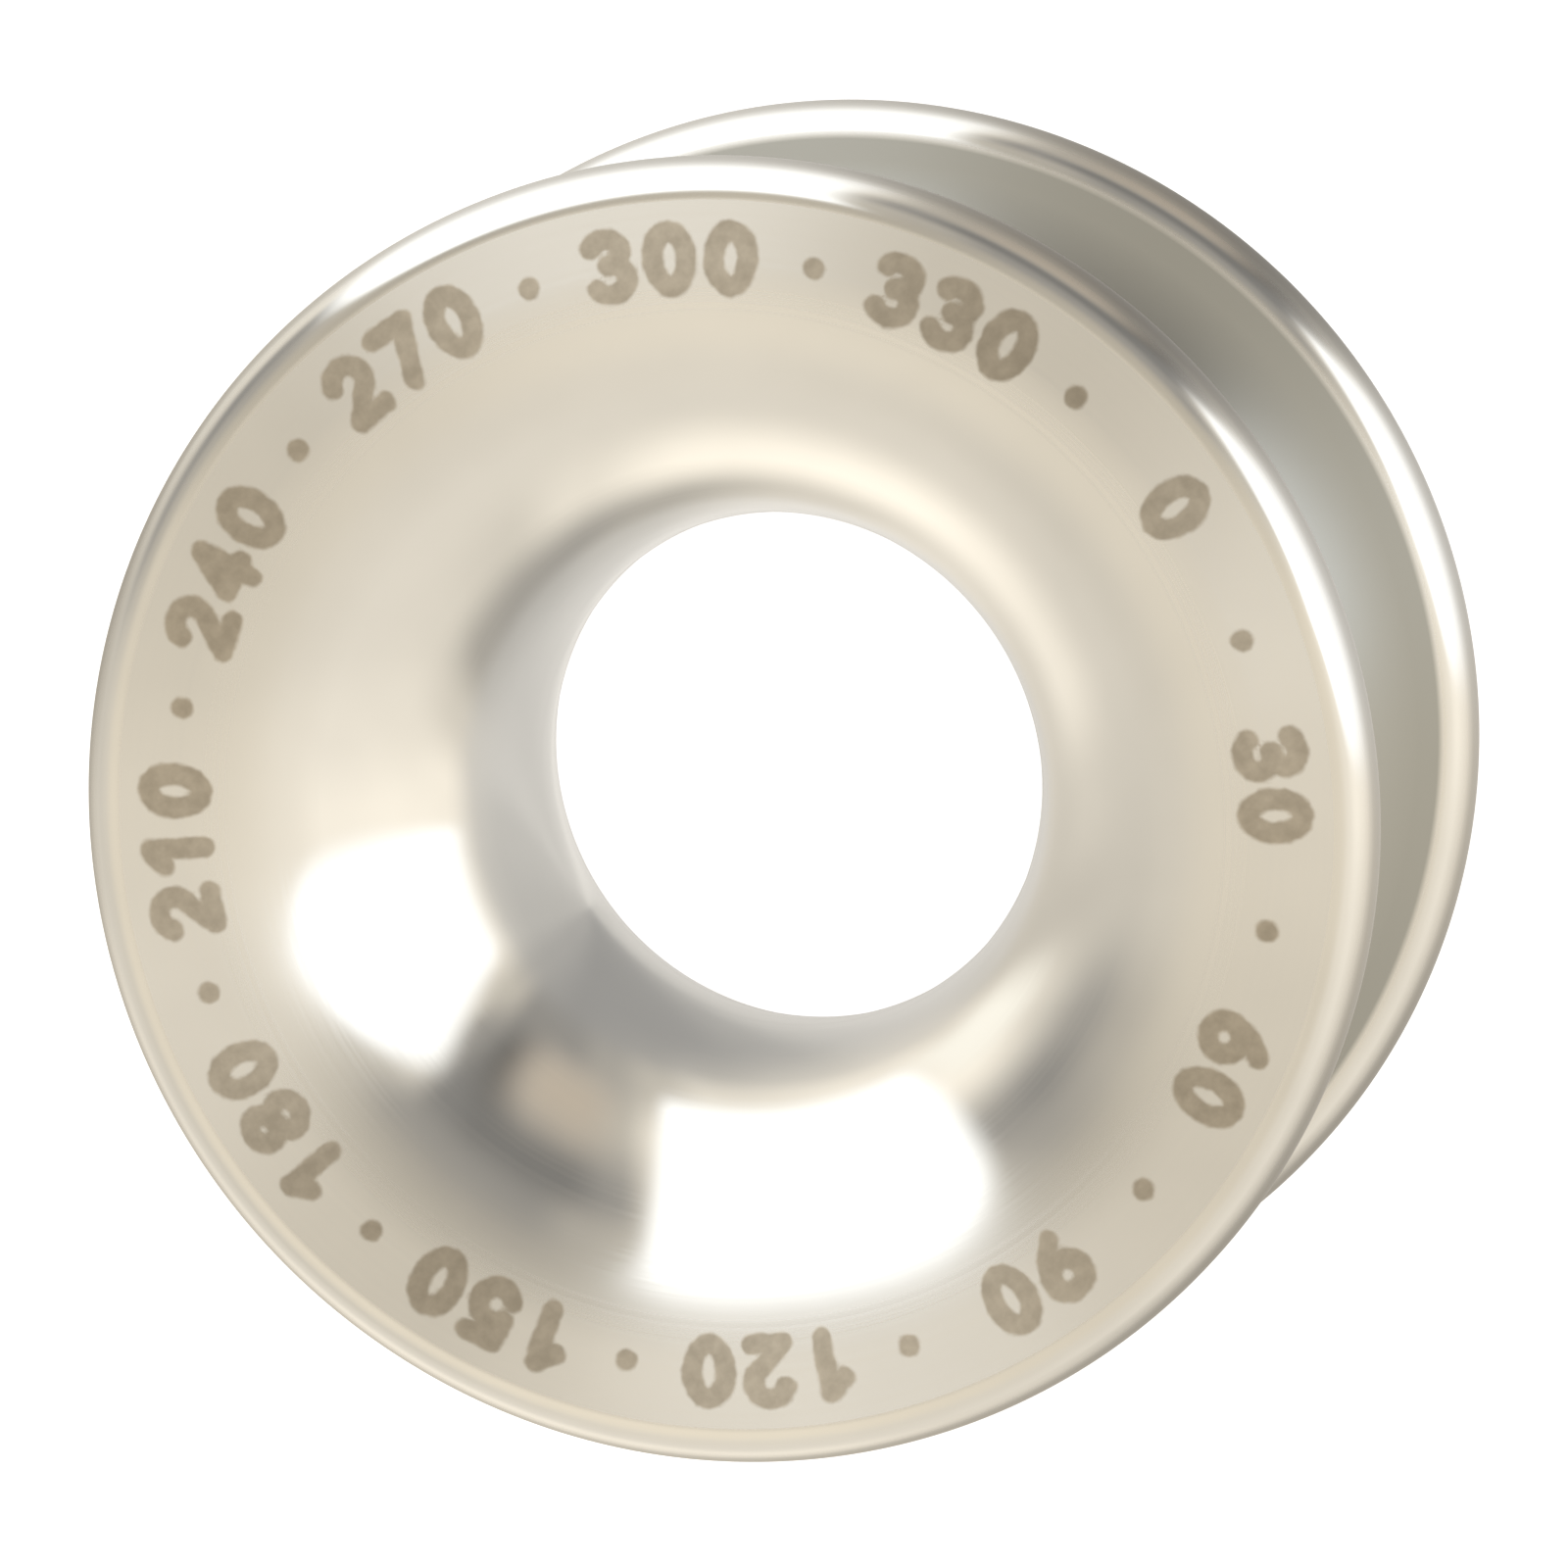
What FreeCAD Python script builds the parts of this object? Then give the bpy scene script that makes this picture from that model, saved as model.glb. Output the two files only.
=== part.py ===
# Low friction ring: one turned stainless piece. A control line runs through the rounded bore,
# and a soft strop lies in the groove outside. The axis is +Z and the lower face rests on z = 0.
import FreeCAD, Part
import math
import os

from FreeCAD import Vector

# Driving sizes, in mm and degrees
LINE_D = 6.0          # line that runs through the bore
LINE_CLEAR = 1.1      # play of that line at the throat, on the diameter
STROP_D = 4.0         # strop that lies in the groove
STROP_CLEAR = 0.2     # the groove's corners are this much wider in radius than the strop
OUTER_D = 17.5        # over the rims of both flanges
WIDTH = 9.9           # from face to face
FLANGE_T = 1.0        # flange at its rim, whose edge is a full round
GROOVE_DEPTH = 3.0    # from the rim down to the groove's floor
LAND_W = 0.85         # flat ring of each face, between the bore's mouth and the rim
ROLL_ANGLE = 18.0     # where the throat's long curve hands over to the mouth's tighter one

# Radii and half heights that follow from them
throat_r = (LINE_D + LINE_CLEAR) / 2
outer_r = OUTER_D / 2
rim_r = FLANGE_T / 2
rim_centre_r = outer_r - rim_r
face_z = WIDTH / 2
wall_z = face_z - FLANGE_T
mouth_r = rim_centre_r - LAND_W
floor_r = outer_r - GROOVE_DEPTH
corner_r = min(STROP_D / 2 + STROP_CLEAR, 0.95 * (rim_centre_r - floor_r), 0.95 * wall_z)

# The bore's half section is two arcs that meet at ROLL_ANGLE with a shared tangent. Their radii
# are the ones that carry the curve from the throat at mid height to the flat face at mouth_r.
cos_roll = math.cos(math.radians(ROLL_ANGLE))
sin_roll = math.sin(math.radians(ROLL_ANGLE))
flare = mouth_r - throat_r
throat_curve_r = (face_z * cos_roll - flare * (1 - sin_roll)) / (cos_roll + sin_roll - 1)
mouth_curve_r = (flare * sin_roll - face_z * (1 - cos_roll)) / (cos_roll + sin_roll - 1)


def arc(centre_r, centre_z, radius, start, end):
    """Arc in the XZ plane about (centre_r, centre_z), from angle start to angle end in degrees."""
    points = []
    for degrees in (start, (start + end) / 2, end):
        turn = math.radians(degrees)
        points.append(Vector(centre_r + radius * math.cos(turn), 0, centre_z + radius * math.sin(turn)))
    return Part.Arc(*points).toShape()


def line(r0, z0, r1, z1):
    """Straight edge in the XZ plane from (r0, z0) to (r1, z1)."""
    return Part.makeLine(Vector(r0, 0, z0), Vector(r1, 0, z1))


# Section above mid height, from the bore's mouth round the rim and down to the groove's floor
half = [
    arc(mouth_r, face_z - mouth_curve_r, mouth_curve_r, 180 - ROLL_ANGLE, 90),
    line(mouth_r, face_z, rim_centre_r, face_z),
    arc(rim_centre_r, face_z - rim_r, rim_r, 90, -90),
    line(rim_centre_r, wall_z, floor_r + corner_r, wall_z),
    arc(floor_r + corner_r, wall_z - corner_r, corner_r, 90, 180),
]

# The other half mirrors it, and the throat and the groove's floor run through mid height
other_half = [edge.mirror(Vector(0, 0, 0), Vector(0, 0, 1)) for edge in half]
throat = arc(throat_r + throat_curve_r, 0, throat_curve_r, 180 + ROLL_ANGLE, 180 - ROLL_ANGLE)
floor = line(floor_r, wall_z - corner_r, floor_r, corner_r - wall_z)

section = Part.Face(Part.Wire(Part.__sortEdges__([throat, floor] + half + other_half)))
ring = section.revolve(Vector(0, 0, 0), Vector(0, 0, 1), 360)
ring.translate(Vector(0, 0, face_z))

os.makedirs("parts", exist_ok=True)
ring.exportStep("parts/ring.step")
print(f"volume {ring.Volume:.1f} mm3, bore curves {throat_curve_r:.2f} and {mouth_curve_r:.2f} mm")
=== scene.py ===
import math

import bpy
import numpy as np
from mathutils import Matrix, Vector


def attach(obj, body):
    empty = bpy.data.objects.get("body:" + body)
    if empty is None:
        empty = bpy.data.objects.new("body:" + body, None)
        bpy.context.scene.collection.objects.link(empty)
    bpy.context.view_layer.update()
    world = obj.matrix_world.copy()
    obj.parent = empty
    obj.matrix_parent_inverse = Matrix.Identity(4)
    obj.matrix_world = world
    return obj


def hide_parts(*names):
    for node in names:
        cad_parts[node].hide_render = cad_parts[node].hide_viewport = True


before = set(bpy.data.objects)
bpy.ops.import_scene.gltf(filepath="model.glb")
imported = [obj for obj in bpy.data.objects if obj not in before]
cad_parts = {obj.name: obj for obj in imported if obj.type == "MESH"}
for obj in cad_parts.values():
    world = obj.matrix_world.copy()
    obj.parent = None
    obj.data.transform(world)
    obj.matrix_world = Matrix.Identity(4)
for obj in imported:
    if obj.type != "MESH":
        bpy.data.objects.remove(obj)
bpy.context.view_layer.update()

# The ring. The real one is turned from one bar of stainless steel, its bore and rims polished and
# its faces and groove left satin. The figures on its upper face are lasered, which tans the steel
# and leaves no depth. It lies loose on its lower face.

MM = 0.001
WIDTH = 9.9           # from face to face, in mm as all sizes of the ring
THROAT_R = 3.55       # bore at mid height
OUTER_R = 8.75        # over the rims
FLANGE_T = 1.0        # flange at its rim, whose edge is a full round
LAND_W = 0.85         # flat ring of each face, between the bore's mouth and the rim
GROOVE_DEPTH = 3.0    # from the rim down to the groove's floor
CORNER_CURVE_R = 2.2  # corners of the groove
ROLL_ANGLE = 18.0     # where the throat's long curve hands over to the mouth's tighter one

HALF_WIDTH = WIDTH / 2
RIM_CURVE_R = FLANGE_T / 2
RIM_CENTRE_R = OUTER_R - RIM_CURVE_R
MOUTH_R = RIM_CENTRE_R - LAND_W
FLOOR_R = OUTER_R - GROOVE_DEPTH

# The bore's two arcs share a tangent at ROLL_ANGLE. Their radii are the ones that carry the curve
# from the throat at mid height to the flat face at MOUTH_R.
cos_roll = math.cos(math.radians(ROLL_ANGLE))
sin_roll = math.sin(math.radians(ROLL_ANGLE))
flare = MOUTH_R - THROAT_R
THROAT_CURVE_R = (HALF_WIDTH * cos_roll - flare * (1 - sin_roll)) / (cos_roll + sin_roll - 1)
MOUTH_CURVE_R = (flare * sin_roll - HALF_WIDTH * (1 - cos_roll)) / (cos_roll + sin_roll - 1)

COLUMNS = 900         # steps round the axis
BOW_POINTS = 17       # points of each curve in a figure
THROAT_ROWS, MOUTH_ROWS, CLOSER_ROWS, RIM_ROWS, CORNER_ROWS = 4, 11, 2, 11, 9
CLOSER_ANGLE = 104    # on the mouth's curve, whose rows get closer from here
FIGURED_ANGLE = 99    # and which can carry figures from here

# The polish goes by how many degrees the surface leans off the flat face, and the painted shade
# and dullness along a rim's outer edge by how many degrees it is off the rim's outermost line
POLISH_LEAN, POLISH = (0, 10, 24), (0, 0.3, 1)
LIMB_LEAN, LIMB_POLISH = (25, 57), (2, 1)
GROOVE_MARK = -1


def arc_points(centre_r, centre_z, radius, start, end, steps, hollow=False):
    """Points of an arc, end left out: (centre_r + radius cos a, centre_z + radius sin a), for a
    running evenly from start to end in degrees. The normal is (cos a, sin a), or its opposite
    where the steel lies outside the arc."""
    a = np.radians(np.linspace(start, end, steps, endpoint=False))
    spoke = np.stack([np.cos(a), np.sin(a)], 1)
    return np.array([centre_r, centre_z]) + radius * spoke, -spoke if hollow else spoke


def run_points(r0, z0, r1, z1, steps):
    """Points of a straight run, end left out: start + t (end - start), with the normal a quarter
    turn to the left of the run."""
    t = np.linspace(0, 1, steps, endpoint=False)[:, None]
    run = np.array([r1 - r0, z1 - z0])
    normal = np.array([-run[1], run[0]]) / np.hypot(*run)
    return np.array([r0, z0]) + t * run, np.repeat(normal[None], steps, 0)


def half_section(figured, plain):
    """Half of the section as (points, normals, polish), from the throat at mid height over the
    face and the rim to the groove's floor. The band that can carry figures has figured rows on
    the mouth and plain rows on the flat face. polish is 0 on the flat face, rises to 1 in the
    bore and on the rim, and to 2 at the rim's outermost line, which is darkened there as painted
    shade. In the groove it is GROOVE_MARK."""
    face, wall = HALF_WIDTH, HALF_WIDTH - FLANGE_T
    corner_r, corner_z = FLOOR_R + CORNER_CURVE_R, wall - CORNER_CURVE_R
    throat = (THROAT_R + THROAT_CURVE_R, 0, THROAT_CURVE_R)
    mouth = (MOUTH_R, face - MOUTH_CURVE_R, MOUTH_CURVE_R)
    inside = [
        arc_points(*throat, 180, 180 - ROLL_ANGLE, THROAT_ROWS),
        arc_points(*mouth, 180 - ROLL_ANGLE, CLOSER_ANGLE, MOUTH_ROWS),
        arc_points(*mouth, CLOSER_ANGLE, FIGURED_ANGLE, CLOSER_ROWS),
        arc_points(*mouth, FIGURED_ANGLE, 90, figured),
        run_points(MOUTH_R, face, RIM_CENTRE_R, face, plain),
    ]
    rim = arc_points(RIM_CENTRE_R, face - RIM_CURVE_R, RIM_CURVE_R, 90, -90, RIM_ROWS)
    groove = [
        run_points(RIM_CENTRE_R, wall, corner_r, wall, 1),
        arc_points(corner_r, corner_z, CORNER_CURVE_R, 90, 180, CORNER_ROWS, hollow=True),
        run_points(FLOOR_R, corner_z, FLOOR_R, 0, 1),
        (np.array([[FLOOR_R, 0]]), np.array([[1, 0]])),
    ]
    points, normals = (np.concatenate(parts) for parts in zip(*inside, rim, *groove))
    lean = np.degrees(np.arccos(np.clip(normals[:, 1], -1, 1)))
    polish = np.interp(lean, POLISH_LEAN, POLISH)
    first = sum(len(p) for p, _ in inside)
    last = first + RIM_ROWS
    # Each rim's outermost line takes polish up to 2, which darkens it as painted shade
    polish[first:last] = np.interp(abs(lean[first:last] - 90), LIMB_LEAN, LIMB_POLISH)
    polish[last:] = GROOVE_MARK
    return points, normals, polish


def ring_section():
    """The closed section, the lower half a coarser mirror image of the upper one."""
    upper, lower = half_section(figured=11, plain=17), half_section(figured=1, plain=1)
    flip = np.array([1, -1])
    back = slice(-2, 0, -1)
    return (np.concatenate([upper[0], (lower[0] * flip)[back]]),
            np.concatenate([upper[1], (lower[1] * flip)[back]]),
            np.concatenate([upper[2], lower[2][back]]))


def bow(cx, cy, rx, ry, start, end):
    """Points of an elliptic arc: (cx + rx cos a, cy + ry sin a), for a from start to end."""
    a = np.radians(np.linspace(start, end, BOW_POINTS))
    return np.stack([cx + rx * np.cos(a), cy + ry * np.sin(a)], 1)


def joined(*parts):
    """One stroke through all the given points."""
    return np.concatenate([np.reshape(p, (-1, 2)) for p in parts])


# Strokes of the figures, each figure in a box one wide and one high
STROKES = {
    "0": [bow(.5, .5, .5, .5, 0, 360)],
    "1": [joined([(.12, .76), (.58, 1), (.58, 0)])],
    "2": [joined(bow(.5, .7, .48, .3, 160, -35), [(0, 0), (1, 0)])],
    "3": [joined(bow(.46, .76, .44, .24, 150, -90)), joined(bow(.46, .27, .52, .27, 90, -150))],
    "4": [joined([(.72, 0), (.72, 1), (0, .28), (1, .28)])],
    "5": [joined([(.92, 1), (.14, 1), (.08, .54)], bow(.46, .33, .52, .33, 125, -150))],
    "6": [bow(.5, .31, .5, .31, 0, 360), joined([(.02, .36), (.24, .74), (.66, 1)])],
    "7": [joined([(0, 1), (1, 1), (.36, 0)])],
    "8": [bow(.5, .75, .42, .25, 0, 360), bow(.5, .26, .5, .26, 0, 360)],
    "9": [bow(.5, .69, .5, .31, 0, 360), joined([(.98, .64), (.76, .26), (.34, 0)])],
}
FIGURE_R = 7.44       # middle of the figures, which stand with their heads to the rim
FIGURE_W, FIGURE_H = 0.46, 0.74
FIGURE_PITCH = 0.82   # from one figure of a number to the next
NUMBER_STEP = 30      # degrees from one number to the next, with a dot half way
DOT = np.array([(0, -0.01), (0, 0.01)])
BAND_MARGIN = 0.1     # rows this far past the flat face, outwards or down, still take strokes
FAR = 1.0             # the distance held by rows that take none


def stroke_distance(places):
    """How far each point of the face is from the nearest stroke's middle line, in mm. A stroke's
    box is bent round the axis: across is the angle times FIGURE_R, and up is the radius."""
    radius = np.hypot(places[:, 0], places[:, 1])
    angle = np.arctan2(places[:, 1], places[:, 0])
    nearest = np.full(len(places), FAR)

    def draw(line, turn):
        """Lowers nearest to the distance from this line, which stands at the angle turn."""
        across = -((angle - turn + math.pi) % (2 * math.pi) - math.pi) * FIGURE_R
        here = np.stack([across, radius - FIGURE_R], 1)[:, None]
        start, run = line[:-1], np.diff(line, axis=0)
        t = ((here - start) * run).sum(2) / np.maximum((run ** 2).sum(1), 1e-12)
        gap = here - start - np.clip(t, 0, 1)[..., None] * run
        np.minimum(nearest, np.sqrt((gap ** 2).sum(2)).min(1), out=nearest)

    for degrees in range(0, 360, NUMBER_STEP):
        number = str(degrees)
        for k, figure in enumerate(number):
            middle = (k - (len(number) - 1) / 2) * FIGURE_PITCH
            for stroke in STROKES[figure]:
                line = (stroke - 0.5) * (FIGURE_W, FIGURE_H) + (middle, 0)
                draw(line, -math.radians(degrees))
        draw(DOT, -math.radians(degrees + NUMBER_STEP / 2))
    return nearest


def carried_round(pairs):
    """Each (r, z) at every angle u of an even circle round the axis: (r cos u, r sin u, z)."""
    u = np.arange(COLUMNS) * 2 * math.pi / COLUMNS
    r, z = pairs[:, :1], pairs[:, 1:]
    return np.stack([r * np.cos(u), r * np.sin(u), z + 0 * u], 2)


def turned_ring():
    """The section carried round the axis, with its exact normals. The attributes are the polish,
    the distance along the section, which the lathe's lines follow, and the distance to the
    nearest lasered stroke. The UV map is the turn round the axis and the row."""
    section, slope, polish = ring_section()
    rows = len(section)
    places = carried_round(section + (0, HALF_WIDTH))
    i, j = np.meshgrid(np.arange(rows), np.arange(COLUMNS), indexing="ij")
    corners = ((1, 0), (1, 1), (0, 1), (0, 0))
    faces = np.stack([(i + di) % rows * COLUMNS + (j + dj) % COLUMNS for di, dj in corners], 2)
    turns = np.stack([np.stack([j + dj, i + di], 2) for di, dj in corners], 2) / (COLUMNS, rows)
    mesh = bpy.data.meshes.new("ring_turned")
    vertices = (places.reshape(-1, 3) * MM).tolist()
    mesh.from_pydata(vertices, [], faces.reshape(-1, 4).tolist(), shade_flat=False)
    along = np.concatenate([[0], np.cumsum(np.hypot(*np.diff(section, axis=0).T))])
    near_face = section[:, 1] > HALF_WIDTH - BAND_MARGIN
    face = np.flatnonzero(near_face & (section[:, 0] < RIM_CENTRE_R + BAND_MARGIN))
    figures = np.full((rows, COLUMNS), FAR)
    figures[face] = stroke_distance(places[face].reshape(-1, 3)).reshape(len(face), COLUMNS)
    for name, values in (("polish", polish[:, None]), ("along", along[:, None]), ("figures", figures)):
        layer = mesh.attributes.new(name, "FLOAT", "POINT")
        values = np.broadcast_to(values, (rows, COLUMNS))
        layer.data.foreach_set("value", np.ascontiguousarray(values, np.float32).ravel())
    layer = mesh.uv_layers.new(name="turns")
    layer.data.foreach_set("uv", turns.astype(np.float32).ravel())
    mesh.normals_split_custom_set_from_vertices(carried_round(slope).reshape(-1, 3))
    return mesh


SATIN_ROUGH, POLISHED_ROUGH = 0.32, 0.11
GROOVE_ROUGH, LIMB_ROUGH, TAN_ROUGH = 0.38, 0.4, 0.55
LINE_SCALE, LINE_ROUGH = 14.0, 0.02      # lathe lines in a mm, and what they do to the roughness
STEEL = (0.70, 0.70, 0.69, 1), (0.74, 0.74, 0.73, 1)
# Painted shade: darker steel for the groove, standing in for the shade of the recess, and for each rim's
# outermost line
GROOVE_PAINTED_SHADE, LIMB_PAINTED_SHADE = (0.44, 0.45, 0.44, 1), (0.50, 0.49, 0.47, 1)
TAN = (0.47, 0.425, 0.355, 1), (0.57, 0.52, 0.44, 1)
TAN_EDGE = 0.185, 0.11                   # mm from a stroke's middle where its tan starts and is full
EDGE_WANDER = 0.012
NOISE_SPAN = 0.3, 0.7                    # noise seldom goes past these


def node(tree, kind, settings=(), **sockets):
    """One new node. A socket goes by its name, with _ for a blank, or by its number after a _,
    and takes a value or another node's output."""
    made = tree.nodes.new(kind)
    for name, value in dict(settings).items():
        setattr(made, name, value)
    for name, value in sockets.items():
        socket = made.inputs[int(name[1:]) if name[0] == "_" else name.replace("_", " ")]
        if isinstance(value, bpy.types.NodeSocket):
            tree.links.new(value, socket)
        else:
            socket.default_value = value
    return made


def mixed(tree, share, one, other):
    """One colour where share is 0, the other where it is 1."""
    return node(tree, "ShaderNodeMix", {"data_type": "RGBA"}, _0=share, _6=one, _7=other).outputs[2]


def stepped(tree, value, first, last):
    """0 where the value is first and 1 where it is last, with a smooth step between."""
    smooth = {"interpolation_type": "SMOOTHSTEP"}
    return node(tree, "ShaderNodeMapRange", smooth, _0=value, _1=first, _2=last).outputs[0]


def combined(tree, how, one, other):
    """Two values put together by a sum, ADD, or a product, MULTIPLY."""
    return node(tree, "ShaderNodeMath", {"operation": how}, _0=one, _1=other).outputs[0]


def turned_steel():
    """Stainless steel as the lathe leaves it: fine lines round the axis, which stretch each
    reflection across them. It is polished in the bore and on the rims, satin on the faces, rougher
    and darkened with painted shade in the groove and along each rim's outermost line, and tan where the
    laser has been."""
    material = bpy.data.materials.new("turned_steel")
    material.use_nodes = True
    tree = material.node_tree
    tree.nodes.clear()

    def attribute(name):
        """The value that the mesh holds under this name."""
        return node(tree, "ShaderNodeAttribute", {"attribute_name": name}).outputs["Fac"]

    def ranged(value, low, high, to_low, to_high):
        """The value carried evenly from low and high to to_low and to_high, and held past them."""
        return node(tree, "ShaderNodeMapRange",
                    _0=value, _1=low, _2=high, _3=to_low, _4=to_high).outputs[0]

    def cloud(scale, detail, low, high):
        """Soft noise on the ring's own coordinates, from low to high."""
        noise = node(tree, "ShaderNodeTexNoise", Vector=place, Scale=scale, Detail=detail)
        return ranged(noise.outputs["Fac"], *NOISE_SPAN, low, high)

    place = node(tree, "ShaderNodeTexCoord").outputs["Object"]
    polish = attribute("polish")
    lines = node(tree, "ShaderNodeTexNoise", {"noise_dimensions": "1D"},
                 W=attribute("along"), Scale=LINE_SCALE, Detail=2.0).outputs["Fac"]
    rough = combined(tree, "ADD", ranged(polish, 0, 1, SATIN_ROUGH, POLISHED_ROUGH),
                     ranged(lines, *NOISE_SPAN, -LINE_ROUGH, LINE_ROUGH))
    colour = mixed(tree, cloud(scale=350.0, detail=3.0, low=0, high=1), *STEEL)
    # Where the painted shade goes: the groove, and each rim's outermost line
    in_groove = ranged(polish, 0, GROOVE_MARK, 0, 1)
    limb_shade = ranged(polish, 1, 2, 0, 1)
    # The laser's edge wanders a little, and its tan is mottled
    wander = cloud(scale=6000.0, detail=1.0, low=-EDGE_WANDER, high=EDGE_WANDER)
    lasered = stepped(tree, combined(tree, "ADD", attribute("figures"), wander), *TAN_EDGE)
    tan = mixed(tree, cloud(scale=5000.0, detail=2.0, low=0, high=1), *TAN)
    for share, its_colour, its_rough in (
        (in_groove, GROOVE_PAINTED_SHADE, GROOVE_ROUGH),
        (limb_shade, LIMB_PAINTED_SHADE, LIMB_ROUGH),
        (lasered, tan, TAN_ROUGH),
    ):
        colour = mixed(tree, share, colour, its_colour)
        rough = node(tree, "ShaderNodeMix", {"data_type": "FLOAT"},
                     _0=share, _2=rough, _3=its_rough).outputs[0]
    across = node(tree, "ShaderNodeTangent", {"direction_type": "UV_MAP", "uv_map": "turns"}).outputs[0]
    shader = node(tree, "ShaderNodeBsdfPrincipled", Base_Color=colour, Roughness=rough, Metallic=1.0,
                  Anisotropic=0.9, Anisotropic_Rotation=0.25, Tangent=across)
    node(tree, "ShaderNodeOutputMaterial", Surface=shader.outputs[0])
    return material


ring = bpy.data.objects.new("ring_turned", turned_ring())
bpy.context.scene.collection.objects.link(ring)
ring.data.materials.append(turned_steel())
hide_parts("ring")
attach(ring, "root")
# Its surfaces mirror the room alone, in one smooth reflection, and not each other
ring.visible_glossy = False

# The camera. The photo's lens looks almost down the axis, 14 degrees to one side of it, so the
# ring is laid flat and the camera looks down on it.

CAMERA_DISTANCE = 157.5   # from the ring's middle, in mm
CAMERA_TILT = 14.217      # away from the ring's axis, in degrees
CAMERA_ROLL = 34.303
FOCAL_LENGTH = 265.18
CAMERA_SHIFT = -0.0074, -0.0109

tilt, roll = math.radians(CAMERA_TILT), math.radians(CAMERA_ROLL)
toward = Vector((math.sin(tilt), 0, math.cos(tilt)))
level = Vector((math.cos(tilt), 0, -math.sin(tilt)))
back = Vector((0, 1, 0))
right = math.cos(roll) * level - math.sin(roll) * back
up = math.sin(roll) * level + math.cos(roll) * back

lens = bpy.data.cameras.new("camera")
lens.sensor_width = 36
lens.lens = FOCAL_LENGTH
lens.shift_x, lens.shift_y = CAMERA_SHIFT
lens.clip_start, lens.clip_end = 0.01, 10
camera = bpy.data.objects.new("camera", lens)
bpy.context.scene.collection.objects.link(camera)
place = (Vector((0, 0, HALF_WIDTH)) + CAMERA_DISTANCE * toward) * MM
camera.matrix_world = Matrix.Translation(place) @ Matrix((right, up, toward)).transposed().to_4x4()
bpy.context.scene.camera = camera

# The floor. A plain white sheet, which the photo shows burnt out to white all round the ring and
# through its bore, so it glows a little and the ring mirrors none of it.

SHEET_HALF = 1.5      # half its side, in m
SHEET_COLOUR = (0.5, 0.5, 0.5, 1)
SHEET_GLOW = 0.85

sheet = bpy.data.meshes.new("floor")
corners = [(x * SHEET_HALF, y * SHEET_HALF, 0) for x, y in ((-1, -1), (1, -1), (1, 1), (-1, 1))]
sheet.from_pydata(corners, [], [(0, 1, 2, 3)])
floor = bpy.data.objects.new("floor", sheet)
bpy.context.scene.collection.objects.link(floor)
white = bpy.data.materials.new("white_sheet")
white.use_nodes = True
white.node_tree.nodes.clear()
lit = node(white.node_tree, "ShaderNodeBsdfDiffuse", Color=SHEET_COLOUR).outputs[0]
glow = node(white.node_tree, "ShaderNodeEmission", Strength=SHEET_GLOW).outputs[0]
both = node(white.node_tree, "ShaderNodeAddShader", _0=lit, _1=glow).outputs[0]
node(white.node_tree, "ShaderNodeOutputMaterial", Surface=both)
sheet.materials.append(white)
floor.visible_glossy = False
floor.visible_diffuse = False

# The light. Soft boxes and grey cards fan out from the direction that the flat face mirrors, so
# their brightness goes by the angle round it. The camera itself sees plain white past the sheet.

BRIGHTEST = 2.2               # a ramp's colours end at 1, so they are held as shares of this
WARM_SHIFT = (0.6, 0, -1)     # what warmth does to red, green and blue
WARM_FROM = 0.6               # brightness below which a light is less warm, down to half

mirrored = Vector((-toward.x, -toward.y, toward.z))
aside = (right - right.dot(mirrored) * mirrored).normalized()
above = mirrored.cross(aside)

world = bpy.data.worlds.new("studio")
bpy.context.scene.world = world
world.use_nodes = True
studio = world.node_tree
studio.nodes.clear()
way = node(studio, "ShaderNodeTexCoord").outputs["Generated"]


def seen_from(x, y, z):
    """The direction of the light in the frame of three axes: its angle round z, as 0 to 1, and
    the cosine of its angle from z."""
    turn = Matrix((x, y, z)).to_euler()
    turned = node(studio, "ShaderNodeMapping", Vector=way, Rotation=turn).outputs[0]
    angle = node(studio, "ShaderNodeTexGradient", {"gradient_type": "RADIAL"}, _0=turned)
    return angle.outputs["Fac"], node(studio, "ShaderNodeSeparateXYZ", _0=turned).outputs["Z"]


def fan(angle, stops, warm):
    """A colour that goes by the angle round an axis. Each stop is (degrees from the right towards
    up, brightness), and its colour is brightness (1 + WARM_SHIFT warm)."""
    ramp = node(studio, "ShaderNodeValToRGB", _0=angle)
    ramp.color_ramp.interpolation = "EASE"
    elements = ramp.color_ramp.elements
    while len(elements) < len(stops):
        elements.new(0.5)
    for element, (degrees, bright) in zip(elements, stops):
        element.position = degrees / 360 + 0.5
        tint = warm * min(1, max(0.5, bright / WARM_FROM))
        element.color = [bright * (1 + shift * tint) / BRIGHTEST for shift in WARM_SHIFT] + [1]
    return ramp.outputs["Color"]


def fade(cosine, first, last):
    """0 at the angle first from the axis, and 1 at the angle last, in degrees."""
    return stepped(studio, cosine, math.cos(math.radians(first)), math.cos(math.radians(last)))


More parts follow.
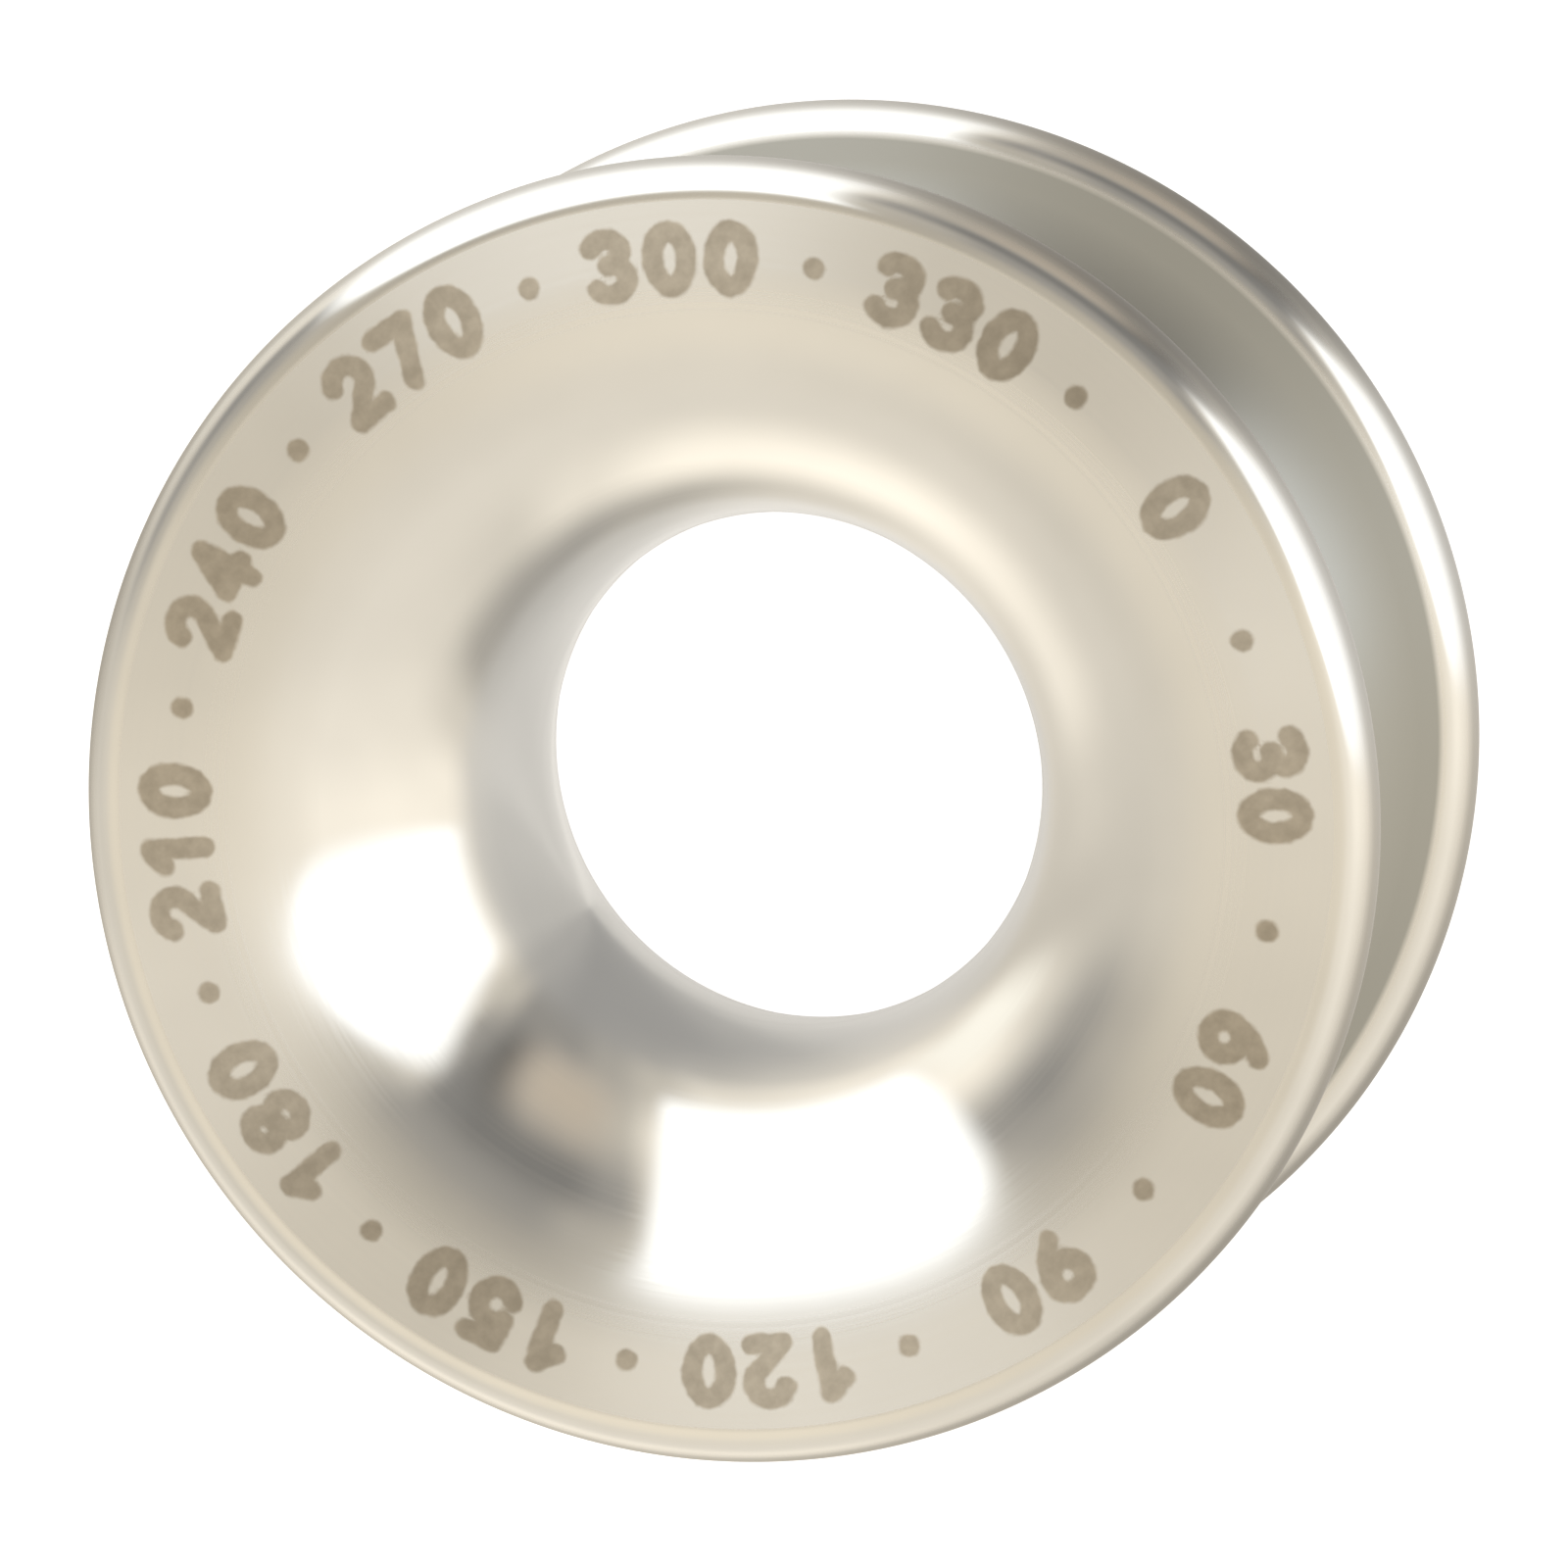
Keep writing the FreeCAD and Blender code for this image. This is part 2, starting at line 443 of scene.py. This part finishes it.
# The room as belts of light round mirrored, from the nearest out: each belt's angle from
# mirrored, its warmth and its stops. One belt fades into the next.
BELTS = (
    (10, .19, [
        (-180, .9), (-90, 1.0), (-45, .84), (-20, .8), (0, .88), (20, .9), (32, .76), (45, .6), (75, .54),
        (92, .6), (120, .52), (145, .6), (165, .84), (180, .9),
    ]),
    (40, .15, [
        (-180, .81), (-135, .8), (-90, .92), (-60, .88), (-30, .9), (0, 1.02), (22, 1.1), (36, .7),
        (46, .42), (68, .4), (76, .56), (88, .7), (130, .7), (146, .48), (162, .6), (180, .81),
    ]),
    (60, .14, [
        (-180, .75), (-150, .86), (-120, .93), (-60, .93), (-30, .96), (-12, 1.05), (2, 1.18), (42, .9),
        (49, .3), (57, .25), (72, .26), (81, .4), (88, .8), (133, .8), (143, .42), (152, .36), (163, .45),
        (180, .75),
    ]),
    (92, .14, [
        (-180, .72), (-165, .86), (-150, 1.15), (-120, 1.42), (-95, 1.35), (-75, 1.05), (-60, .82),
        (-40, .92), (-20, 1.05), (0, 1.25), (40, .9), (46, .4), (54, .18), (64, .57), (80, .66),
        (89, 1.1), (140, 1.2), (150, 1.25), (165, .95), (180, .72),
    ]),
    (120, .14, [
        (-180, .71), (-150, .83), (-133, .95), (-120, .85), (-95, .55), (-78, .46), (-62, .46), (-47, .5),
        (-30, .85), (-12, 1.2), (30, 1.3), (44, .68), (52, .38), (64, .38), (76, .5), (90, .7),
        (104, 1.0), (135, 1.15), (150, 1.1), (165, .95), (180, .71),
    ]),
    (150, .07, [
        (-180, .75), (-150, .76), (-125, .95), (-105, .8), (-60, .74), (-30, .8), (-10, .7), (30, .64),
        (45, .53), (65, .43), (105, .44), (135, .52), (165, .7), (180, .75),
    ]),
)
round_mirrored, from_mirrored = seen_from(aside, above, mirrored)
_, warm, stops = BELTS[0]
room = fan(round_mirrored, stops, warm)
for (inner, _, _), (outer, warm, stops) in zip(BELTS, BELTS[1:]):
    room = mixed(studio, fade(from_mirrored, inner, outer), room, fan(round_mirrored, stops, warm))


def sector(foot_x, foot_y, first, full, last, end):
    """The light between two sides that run out from a foot, and the cosine of the angle from that
    foot, which is mirrored moved by foot_x along aside and by foot_y along above. The light rises
    from first to full and falls from last to end, in degrees round the foot."""
    foot = (foot_x * aside + foot_y * above + mirrored).normalized()
    foot_right = (aside - aside.dot(foot) * foot).normalized()
    round_foot, from_foot = seen_from(foot_right, foot.cross(foot_right), foot)
    sides = [(-180, 0), (first, 0), (full, BRIGHTEST), (last, BRIGHTEST), (end, 0), (180, 0)]
    return fan(round_foot, sides, 0), from_foot


# What stands before the room: two windows, a bright strip and a tan patch. Each has its sectors,
# the degrees from the first one's foot where it fades in, the degrees from mirrored where it
# fades out, and its colour.
CARDS = (
    ([(-0.157, 0.115, 0, 7, 37, 45), (0.6, 0.24, -16, -2, 54, 70)],
     (10, 20), (118, 134), (1.7, 1.7, 1.67)),
    ([(0.05, 0.11, 86, 92, 140, 147)], (11, 20), (107, 122), (1.8, 1.8, 1.76)),
    ([(0, 0, 144, 153, 163, 178)], (86, 100), (110, 126), (1.36, 1.3, 1.15)),
    ([(0, 0, 50, 65, 70, 84)], (64, 92), (96, 122), (0.7, 0.6, 0.48)),
)
for sectors, opening, (closing, closed), colour in CARDS:
    pairs = [sector(*sizes) for sizes in sectors]
    share = fade(pairs[0][1], *opening)
    for part in (fade(from_mirrored, closed, closing), *(inside for inside, _ in pairs)):
        share = combined(studio, "MULTIPLY", share, part)
    room = mixed(studio, share, room, [c / BRIGHTEST for c in colour] + [1])

mirrored_room = node(studio, "ShaderNodeBackground", Color=room, Strength=BRIGHTEST).outputs[0]
plain = node(studio, "ShaderNodeBackground", Color=(1, 1, 1, 1)).outputs[0]
by_camera = node(studio, "ShaderNodeLightPath").outputs["Is Camera Ray"]
either = node(studio, "ShaderNodeMixShader", _0=by_camera, _1=mirrored_room, _2=plain).outputs[0]
node(studio, "ShaderNodeOutputWorld", Surface=either)

bpy.context.scene.view_settings.view_transform = "Standard"
